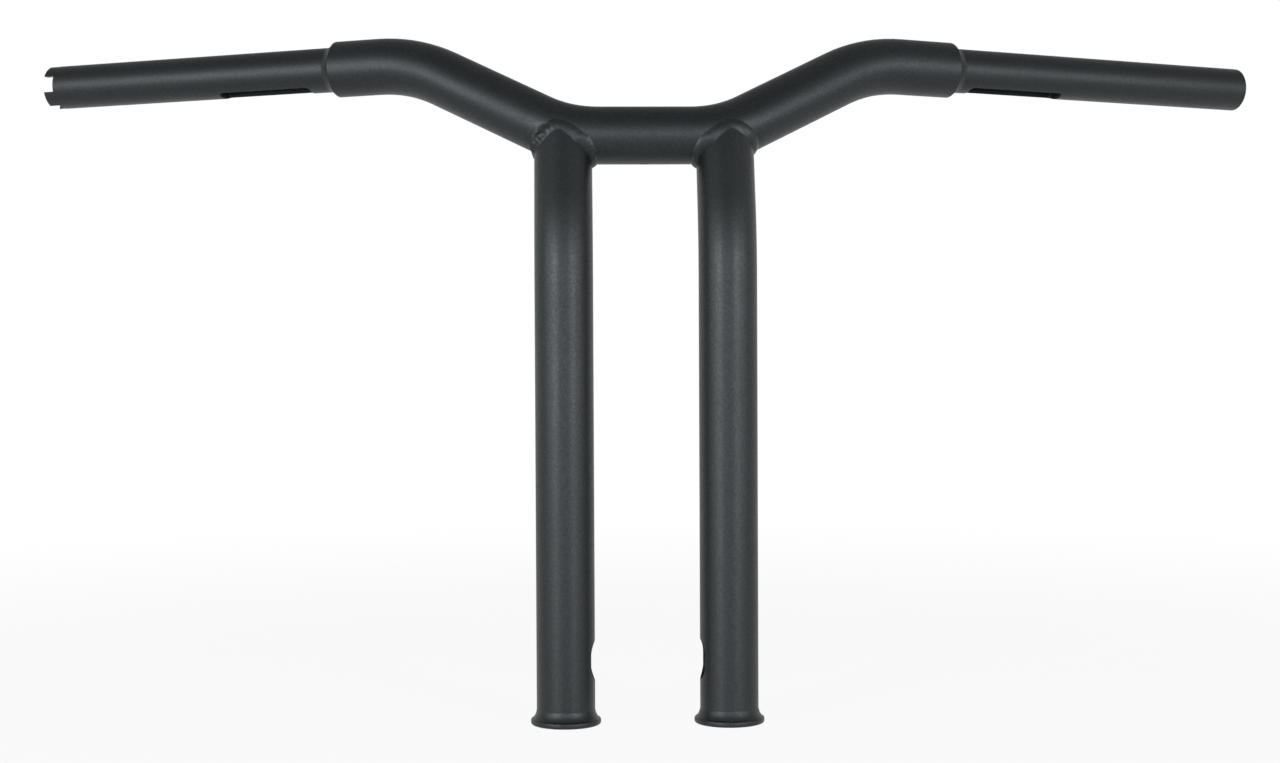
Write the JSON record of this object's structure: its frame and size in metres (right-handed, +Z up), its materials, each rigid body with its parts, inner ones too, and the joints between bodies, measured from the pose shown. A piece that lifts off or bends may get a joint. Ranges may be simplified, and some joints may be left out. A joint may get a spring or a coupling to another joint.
{
  "type": "motorcycle handlebar",
  "caption": "Welded tubular steel T-bar handlebar: bent risers with tapped flanged feet carry a raised, swept crossbar with thinner grip tubes slotted for wiring.",
  "frame": {"origin": "midway between the risers' feet, on the plane where they stand on the fork clamp", "axes": "+X towards the clutch-side grip, +Y back towards the rider, +Z up along the straight lower risers"},
  "size_m": [0.7306, 0.1847, 0.3802],
  "materials": {
    "black_powder_coat": "satin black powder coat over welded steel"
  },
  "bodies": {
    "root": {"clutch_side_foot": "black_powder_coat", "clutch_side_foot_weld": "black_powder_coat", "clutch_side_grip_tube": "black_powder_coat", "clutch_side_grip_weld": "black_powder_coat", "clutch_side_riser": "black_powder_coat", "clutch_side_riser_weld": "black_powder_coat", "crossbar": "black_powder_coat", "throttle_side_foot": "black_powder_coat", "throttle_side_foot_weld": "black_powder_coat", "throttle_side_grip_tube": "black_powder_coat", "throttle_side_grip_weld": "black_powder_coat", "throttle_side_riser": "black_powder_coat", "throttle_side_riser_weld": "black_powder_coat"}
  },
  "joints": []
}
